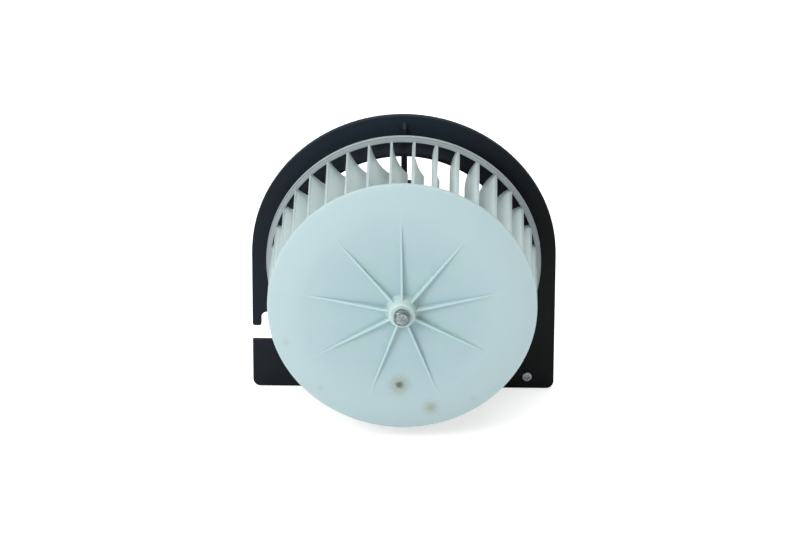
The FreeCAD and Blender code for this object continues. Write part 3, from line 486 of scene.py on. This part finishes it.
def pressed_felt():
    """Oil-soaked felt with short crossing fibres."""
    material, tree, shader = new_material("pressed_felt", Sheen_Weight=0.4)
    fibres = noise(tree, object_place(tree), 0.25 * MM, detail=6.0, roughness=0.75)
    tone = math_node(tree, "MULTIPLY", fibres,
                     effect(tree, "cloudy_patches", 1 / 300, Contrast=2.0))
    finish_surface(tree, shader, mix_color(tree, tone, (0.16, 0.12, 0.06), (0.62, 0.54, 0.36)),
                   map_range(tree, fibres, 0.0, 1.0, 0.75, 0.95), fibres, 0.2 * MM)
    return material


# Finish of each material slot that the motor's pieces have
MOTOR_FINISHES = {
    "black_rubber": lambda: grained(
        "matt_rubber", (0.012, 0.012, 0.012), (0.030, 0.030, 0.029),
        roughness=0.74, grain=0.35 * MM, depth=0.02 * MM, Specular_IOR_Level=0.35),
    "zinc_steel": lambda: metal(
        "bright_zinc", (0.34, 0.36, 0.38), (0.60, 0.62, 0.64),
        roughness=0.36, marks="fine_grain", size=0.3 * MM, depth=0.006 * MM, patch=2 * MM),
    "ground_steel": ground_shaft,
    "sintered_bronze": lambda: metal(
        "sintered_bronze", (0.30, 0.17, 0.07), (0.58, 0.38, 0.17),
        roughness=0.48, marks="fine_grain", size=0.18 * MM, depth=0.02 * MM, patch=3 * MM),
    "oil_felt": pressed_felt,
    "spring_steel": lambda: metal(
        "blued_spring_steel", (0.10, 0.11, 0.16), (0.30, 0.30, 0.34),
        roughness=0.32, marks="drawn_streaks", size=0.3 * MM, depth=0.004 * MM, patch=4 * MM),
    "natural_plastic": lambda: grained(
        "natural_nylon", (0.62, 0.57, 0.42), (0.80, 0.76, 0.64),
        roughness=0.40, grain=0.6 * MM, depth=0.01 * MM,
        Subsurface_Weight=0.15, Subsurface_Scale=1.5 * MM),
    "can_steel": lambda: metal(
        "drawn_can_steel", (0.33, 0.34, 0.35), (0.60, 0.61, 0.61),
        roughness=0.34, marks="drawn_streaks", size=0.5 * MM, depth=0.006 * MM, patch=22 * MM),
    "ferrite": lambda: grained(
        "sintered_ferrite", (0.022, 0.022, 0.026), (0.060, 0.058, 0.060),
        roughness=0.50, grain=0.25 * MM, depth=0.02 * MM, patch=6 * MM),
    "core_steel": laminated_steel,
    "copper_wire": lambda: wound_copper(
        "enamelled_copper", 0.8 * MM, wave_type="RINGS", rings_direction="Y"),
    "brown_phenolic": lambda: grained(
        "brown_phenolic", (0.075, 0.026, 0.010), (0.17, 0.070, 0.028),
        roughness=0.30, grain=0.5 * MM, depth=0.006 * MM, patch=4 * MM, Coat_Weight=0.2),
    "copper_bar": lambda: metal(
        "turned_copper", (0.42, 0.16, 0.07), (0.72, 0.36, 0.19),
        roughness=0.28, marks="turned_rings", size=0.15 * MM, depth=0.01 * MM, patch=4 * MM),
    "grey_plastic": lambda: grained(
        "glass_filled_cap", (0.020, 0.021, 0.023), (0.042, 0.043, 0.045),
        roughness=0.52, grain=0.4 * MM, depth=0.02 * MM, pits=0.7),
    "brass": lambda: metal(
        "stamped_brass", (0.40, 0.26, 0.09), (0.72, 0.52, 0.22),
        roughness=0.30, marks="drawn_streaks", size=0.3 * MM, depth=0.004 * MM, patch=5 * MM),
    "carbon": lambda: grained(
        "pressed_carbon", (0.018, 0.018, 0.018), (0.065, 0.064, 0.062),
        roughness=0.46, grain=0.2 * MM, depth=0.01 * MM, patch=2 * MM),
}


# The fixing screw's thread

def screw_thread(name, settings):
    """A thread-forming ridge round the screw's shank, from the plate's boss to near its point."""
    low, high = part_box("fixing_screw")
    across, up = (low.x + high.x) / 2, (low.z + high.z) / 2
    start = settings.thread_start
    length = high.y - settings.thread_point - start
    turns = length / settings.thread_pitch
    count = round(turns * settings.thread_segments)
    root = settings.shank_radius * THREAD_SUNK
    half = settings.thread_pitch * THREAD_HALF_FOOT
    crest = half * THREAD_CREST
    section = ((root, -half), (settings.thread_radius, -crest),
               (settings.thread_radius, crest), (root, half))
    mesh = bmesh.new()
    rings = []
    for step in range(count + 1):
        share = step / count
        angle = 2 * math.pi * turns * share
        grown = min(1.0, share / THREAD_GROWS, (1 - share) / THREAD_GROWS)
        ring = []
        for radius, along in section:
            reach = root + (radius - root) * grown
            ring.append(mesh.verts.new((across + reach * math.cos(angle),
                                        start + length * share + along * grown,
                                        up + reach * math.sin(angle))))
        rings.append(ring)
    for near, far in zip(rings, rings[1:]):
        for side in range(len(section)):
            mesh.faces.new((near[side], far[side], far[side - 1], near[side - 1]))
    mesh.faces.new(rings[0])
    mesh.faces.new(reversed(rings[-1]))
    bmesh.ops.recalc_face_normals(mesh, faces=mesh.faces)
    data = bpy.data.meshes.new(name)
    mesh.to_mesh(data)
    mesh.free()
    thread = bpy.data.objects.new(name, data)
    bpy.context.scene.collection.objects.link(thread)
    return thread


# Finishes of the wheel and the frame

# Marks on the disc's face: across, up, core radius and reach in millimetres, and how much they cover
STAINS = (
    (-1.2, -41.9, 0.6, 3.0, 0.95),
    (14.7, -54.9, 0.2, 2.0, 0.12),
)
HALOS = (
    (-1.2, -41.9, 1.5, 8.0, 0.62),
    (14.7, -54.9, 0.6, 5.6, 0.62),
)
SMUDGES_AND_SHADOW = (
    (36.1, -50.0, 0.5, 2.6, 0.22),
    (-40.7, -44.5, 0.3, 2.2, 0.26),
    (-58.2, -19.4, 0.5, 3.2, 0.22),
    # A painted shadow that the hub casts to its right
    (5.5, 1.5, 2.0, 10.0, 0.22),
)


def mark_mask(tree, split, marks):
    """Soft round marks at places on the disc's face, each with a ragged edge."""
    place = face_place(tree, split)
    ragged = map_range(tree, noise(tree, place, 1.4 * MM, detail=4.0), 0.3, 0.7, 0.75, 1.3)
    total = None
    for across, up, core, reach, cover in marks:
        frayed = math_node(tree, "MULTIPLY", distance(tree, place, (across * MM, up * MM, 0.0)), ragged)
        mask = map_range(tree, frayed, core * MM, reach * MM, cover, 0.0, smooth=True)
        total = mask if total is None else math_node(tree, "MAXIMUM", total, mask)
    return total


def rib_highlight_lines(tree, split, radius):
    """Faint lines of painted highlight that carry the gusset ribs on towards the rim."""
    step = 2 * math.pi / RIB_COUNT
    angle = math_node(tree, "ARCTAN2", split["Z"], split["X"])
    turns = math_node(tree, "DIVIDE", math_node(tree, "SUBTRACT", angle, RIB_FIRST_ANGLE), step)
    nearest = math_node(tree, "FRACT", math_node(tree, "ADD", turns, 0.5))
    beside = math_node(tree, "ABSOLUTE", math_node(tree, "SUBTRACT", nearest, 0.5))
    arc = math_node(tree, "MULTIPLY", beside, math_node(tree, "MULTIPLY", radius, step))
    line = map_range(tree, arc, 0.2 * MM, 0.75 * MM, 1.0, 0.0, smooth=True)
    fade = map_range(tree, radius, RIB_END, RIB_LINE_END, 0.3, 0.0, smooth=True)
    return math_node(tree, "MULTIPLY", line, fade)


def disc_color(tree, settings, split, radius, patches):
    """The disc's face: a cloudy middle darkened with painted shade of the motor behind, ribs and hub
    made paler with painted highlight, the brown marks, and grey smudges with a painted shadow beside
    the hub.
    """
    # Painted shade: the middle takes the darker colour of the motor's shade, and its border wanders
    # with the patches
    wander = map_range(tree, patches, 0.0, 1.0, -5 * MM, 5 * MM)
    rim = map_range(tree, math_node(tree, "ADD", radius, wander),
                    settings.shade_radius - 22 * MM, settings.shade_radius + 12 * MM, smooth=True)
    cloudy = noise(tree, object_place(tree), 16 * MM, detail=2.0)
    clouds = map_range(tree, cloudy, 0.42, 0.62, 0.0, 0.8, smooth=True)
    middle = mix_color(tree, clouds, settings.motor_shade_color, settings.green_color)
    color = mix_color(tree, rim, middle, settings.outer_color)
    # Painted highlight: paler lines along the ribs, and a paler hub and raised ribs, the more so the
    # higher they stand
    color = mix_color(tree, rib_highlight_lines(tree, split, radius), color, settings.rib_highlight_color)
    hub = map_range(tree, radius, HUB_RADIUS + HUB_FILLET, HUB_RADIUS, smooth=True)
    ribs = map_range(tree, split["Y"], DISC_FACE - RIB_FOOT, HUB_FACE, 0.0, 0.5)
    color = mix_color(tree, math_node(tree, "MAXIMUM", hub, ribs), color, settings.rib_highlight_color)
    for marks, mark_color in ((SMUDGES_AND_SHADOW, settings.smudge_and_shadow_color), (HALOS, settings.halo_color),
                              (STAINS, settings.stain_color)):
        color = mix_color(tree, mark_mask(tree, split, marks), color, mark_color)
    return color


def edge_and_shade_color(tree, settings, split, radius, color):
    """Adds the greyer outer edges of blades and ring, painted shade on the disc's outermost edge, and
    painted shade in the ring's step.
    """
    beside_disc = map_range(tree, split["Y"], DISC_RIM + 4 * MM, RING_FRONT - 6 * MM, 0.7, 0.0)
    strip = mix_color(tree, beside_disc, settings.edge_and_shade_color, settings.outer_color)
    # Painted shade on the disc's outermost edge, with the grey of the ring and of the blades' outer
    # edges
    edge = map_range(tree, radius, RIM_RADIUS - 0.6 * MM, RIM_RADIUS - 0.1 * MM, smooth=True)
    color = mix_color(tree, edge, color, strip)
    # Painted shade in the small step round the ring's outer front edge
    step_front = map_range(tree, split["Y"], RING_FRONT + 1.1 * RING_STEP,
                           RING_FRONT + 1.3 * RING_STEP, 1.0, 0.0)
    step_edge = map_range(tree, radius, RING_RADIUS - 1.5 * RING_STEP, RING_RADIUS - RING_STEP)
    step_shade = math_node(tree, "MULTIPLY", step_front, step_edge)
    return mix_color(tree, step_shade, color, settings.step_shade_color)


def milky_plastic(settings):
    """Satin, faintly see-through plastic, with painted shade where the motor lies behind it and painted
    highlight on its ribs and hub.
    """
    material, tree, shader = new_material(
        "milky_plastic", Subsurface_Weight=0.6, Subsurface_Scale=2.5 * MM,
        Subsurface_Radius=(0.9, 1.0, 1.0), IOR=1.49, Specular_IOR_Level=0.4)
    split = split_place(tree)
    radius = axis_radius(tree, split)
    patches = effect(tree, "cloudy_patches", 1 / 22, Contrast=1.4)
    disc = disc_color(tree, settings, split, radius, patches)
    behind = map_range(tree, split["Y"], DISC_RIM - 0.5 * MM, DISC_RIM + 2 * MM, smooth=True)
    color = edge_and_shade_color(tree, settings, split, radius,
                       mix_color(tree, behind, disc, settings.blade_color))
    rough = map_range(tree, patches, 0.0, 1.0,
                      settings.roughness - GLOSS_DRIFT, settings.roughness + GLOSS_DRIFT)
    grain = effect(tree, "fine_grain", 0.9 * MM, Pits=0.2)
    finish_surface(tree, shader, color, rough, grain, 0.012 * MM)
    return material


def black_plastic(settings):
    """Black plastic with the fine grain of a spark-eroded mould, with painted light that makes it
    lighter towards the upper left and the top.
    """
    material, tree, shader = new_material("black_plastic", Specular_IOR_Level=0.2)
    split = split_place(tree)
    cells = effect(tree, "fine_grain", settings.grain, Pits=0.5)
    patches = effect(tree, "cloudy_patches", 30 * MM, Contrast=1.6)
    tone = math_node(tree, "ADD", math_node(tree, "MULTIPLY", cells, 0.2),
                     math_node(tree, "MULTIPLY", patches, 0.3))
    # Painted light: lighter towards the upper left, where the key light falls, and towards the top
    to_upper_left = math_node(tree, "SUBTRACT", split["Z"],
                              math_node(tree, "MULTIPLY", split["X"], 1.5))
    painted_upper_left_light = map_range(tree, to_upper_left, -120 * MM, 90 * MM, smooth=True)
    height = map_range(tree, split["Z"], 30 * MM, 75 * MM, 0.85, 1.2)
    tone = math_node(tree, "MULTIPLY", math_node(tree, "ADD", tone, 0.5),
                     math_node(tree, "MULTIPLY", painted_upper_left_light, height))
    finish_surface(tree, shader, mix_color(tree, tone, settings.low_color, settings.high_color),
                   map_range(tree, patches, 0.2, 0.8, 0.46, 0.56), cells, 0.02 * MM)
    return material


def dress(nodes, material):
    """Gives CAD nodes their material."""
    for name in nodes:
        mesh = frame["nodes"][name].data
        mesh.materials.clear()
        mesh.materials.append(material)


def nodes_of_slot(slot):
    return [part["node"] for part in frame["record"]["subparts"] if part["material_slot"] == slot]


# The studio

# The floor's half width, and how far out its glow starts to rise and stops
FLOOR_HALF = 8.0
FLOOR_GLOW_NEAR = 0.6
FLOOR_GLOW_FAR = 3.0

# Each soft light's name, its place, the place that it faces, its width, and the setting of its power
LIGHTS = (
    ("key_light", (-0.65, -0.75, 0.6), (0.0, -0.03, 0.0), 0.5, "key_power"),
    ("fill_light", (0.9, -0.9, 0.25), (0.0, -0.03, 0.0), 0.6, "fill_power"),
    ("top_light", (0.0, 0.25, 1.5), (0.0, 0.1, 0.0), 1.6, "top_power"),
)


def camera_axes(settings):
    """Right, up and backward directions of the camera."""
    turn, lift, roll = settings.camera_azimuth, settings.camera_elevation, settings.camera_roll
    back = Vector((math.sin(turn) * math.cos(lift), -math.cos(turn) * math.cos(lift), math.sin(lift)))
    level = Vector((math.cos(turn), math.sin(turn), 0.0))
    upward = back.cross(level)
    right = level * math.cos(roll) + upward * math.sin(roll)
    return right, back.cross(right), back


def make_camera(settings):
    right, up, back = camera_axes(settings)
    data = bpy.data.cameras.new("studio_camera")
    data.lens = settings.camera_lens
    data.sensor_width = 36.0
    data.sensor_fit = "HORIZONTAL"
    data.clip_start = 0.05
    data.clip_end = 50.0
    camera = bpy.data.objects.new("studio_camera", data)
    turned = Matrix((right, up, back)).transposed().to_4x4()
    place = Vector(settings.camera_aim) + back * settings.camera_distance
    camera.matrix_world = Matrix.Translation(place) @ turned
    bpy.context.scene.collection.objects.link(camera)
    bpy.context.scene.camera = camera


def soft_light(name, place, aim, width, power):
    """A square soft light that faces a place."""
    data = bpy.data.lights.new(name, "AREA")
    data.size = width
    data.energy = power
    light = bpy.data.objects.new(name, data)
    light.location = place
    light.rotation_mode = "QUATERNION"
    light.rotation_quaternion = (Vector(aim) - Vector(place)).to_track_quat("-Z", "Y")
    bpy.context.scene.collection.objects.link(light)


def floor_material(settings):
    """Pale matt floor, which the camera sees brighter the further away it lies."""
    material, tree, shader = new_material("pale_floor", Roughness=0.9, Specular_IOR_Level=0.1)
    darker = [0.97 * part for part in settings.floor_color]
    patches = effect(tree, "cloudy_patches", 1 / 3, Contrast=0.5)
    tree.links.new(mix_color(tree, patches, darker, settings.floor_color), shader.inputs["Base Color"])
    seen = add_node(tree, "ShaderNodeLightPath").outputs["Is Camera Ray"]
    glow = map_range(tree, distance(tree, object_place(tree)), FLOOR_GLOW_NEAR, FLOOR_GLOW_FAR,
                     settings.floor_glow, 1.0, smooth=True)
    shader.inputs["Emission Color"].default_value = (1.0, 1.0, 1.0, 1.0)
    tree.links.new(math_node(tree, "MULTIPLY", seen, glow), shader.inputs["Emission Strength"])
    return material


def make_floor(settings):
    """A wide pale floor that the foot edge stands on."""
    level = CAD_BOX[0].z
    mesh = bpy.data.meshes.new("studio_floor")
    corners = ((-1, -1), (1, -1), (1, 1), (-1, 1))
    mesh.from_pydata([(x * FLOOR_HALF, y * FLOOR_HALF, level) for x, y in corners], [], [(0, 1, 2, 3)])
    mesh.materials.append(floor_material(settings))
    floor = bpy.data.objects.new("studio_floor", mesh)
    bpy.context.scene.collection.objects.link(floor)


def make_surroundings(settings):
    """An even pale sky, white where the camera looks straight at it."""
    world = bpy.data.worlds.new("studio_sky")
    world.use_nodes = True
    tree = world.node_tree
    sky = tree.nodes["Background"]
    seen = add_node(tree, "ShaderNodeLightPath").outputs["Is Camera Ray"]
    strength = map_range(tree, seen, 0.0, 1.0, settings.sky_strength, 1.0)
    sky.inputs["Color"].default_value = (1.0, 1.0, 1.0, 1.0)
    tree.links.new(strength, sky.inputs["Strength"])
    bpy.context.scene.world = world


# Operators

class BLOWER_OT_wheel(bpy.types.Operator):
    """Give the wheel its milky plastic, with the marks and the painted light and shade on its disc"""

    bl_idname = "blower.wheel"
    bl_label = "Wheel"

    def execute(self, context):
        dress(nodes_of_slot("milky_plastic"), milky_plastic(context.scene.blower_wheel))
        return {"FINISHED"}


class BLOWER_OT_frame(bpy.types.Operator):
    """Give the frame its grained black plastic, with painted light towards the upper left and the top
    """

    bl_idname = "blower.frame"
    bl_label = "Frame"

    def execute(self, context):
        dress(nodes_of_slot("black_plastic"), black_plastic(context.scene.blower_frame))
        return {"FINISHED"}


class BLOWER_OT_motor(bpy.types.Operator):
    """Give every piece of the motor its finish"""

    bl_idname = "blower.motor"
    bl_label = "Motor"

    def execute(self, context):
        for slot, make in MOTOR_FINISHES.items():
            dress(nodes_of_slot(slot), make())
        dress(("choke_coil_right", "choke_coil_left"),
              wound_copper("choke_copper", 0.7 * MM, wave_type="BANDS", bands_direction="Z"))
        return {"FINISHED"}


class BLOWER_OT_screw(bpy.types.Operator):
    """Cut the thread of the small screw in the frame's corner"""

    bl_idname = "blower.screw"
    bl_label = "Screw Thread"

    def execute(self, context):
        screw = frame["nodes"]["fixing_screw"]
        thread = screw_thread("fixing_screw_thread", context.scene.blower_screw)
        thread.data.materials.append(screw.data.materials[0])
        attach(thread, "motor_unit")
        return {"FINISHED"}


class BLOWER_OT_stage(bpy.types.Operator):
    """Make the pale floor, the soft lights and the camera"""

    bl_idname = "blower.stage"
    bl_label = "Studio"

    def execute(self, context):
        settings = context.scene.blower_studio
        make_camera(settings)
        make_floor(settings)
        make_surroundings(settings)
        for name, place, aim, width, power in LIGHTS:
            soft_light(name, place, aim, width, getattr(settings, power))
        context.scene.view_settings.view_transform = "Standard"
        return {"FINISHED"}


SETTINGS = {
    "blower_wheel": BlowerWheelSettings,
    "blower_frame": BlowerFrameSettings,
    "blower_screw": BlowerScrewSettings,
    "blower_studio": BlowerStudioSettings,
}
OPERATORS = (BLOWER_OT_wheel, BLOWER_OT_frame, BLOWER_OT_motor, BLOWER_OT_screw, BLOWER_OT_stage)


class BLOWER_PT_panel(bpy.types.Panel):
    """Lists the blower's steps and settings"""

    bl_idname = "BLOWER_PT_panel"
    bl_label = "Blower"
    bl_space_type = "VIEW_3D"
    bl_region_type = "UI"
    bl_category = "Blower"

    def draw(self, context):
        layout = self.layout
        for operator in OPERATORS:
            layout.operator(operator.bl_idname)
        for group in SETTINGS:
            settings = getattr(context.scene, group)
            box = layout.box()
            for name in settings.__annotations__:
                box.prop(settings, name)


CLASSES = (*SETTINGS.values(), *OPERATORS, BLOWER_PT_panel)


def register():
    for item in CLASSES:
        bpy.utils.register_class(item)
    for name, group in SETTINGS.items():
        setattr(bpy.types.Scene, name, PointerProperty(type=group))


def unregister():
    for name in SETTINGS:
        delattr(bpy.types.Scene, name)
    for item in reversed(CLASSES):
        bpy.utils.unregister_class(item)


def main():
    register()
    bpy.ops.blower.wheel()
    bpy.ops.blower.frame()
    bpy.ops.blower.motor()
    bpy.ops.blower.screw()
    bpy.ops.blower.stage()


if __name__ == "__main__":
    main()
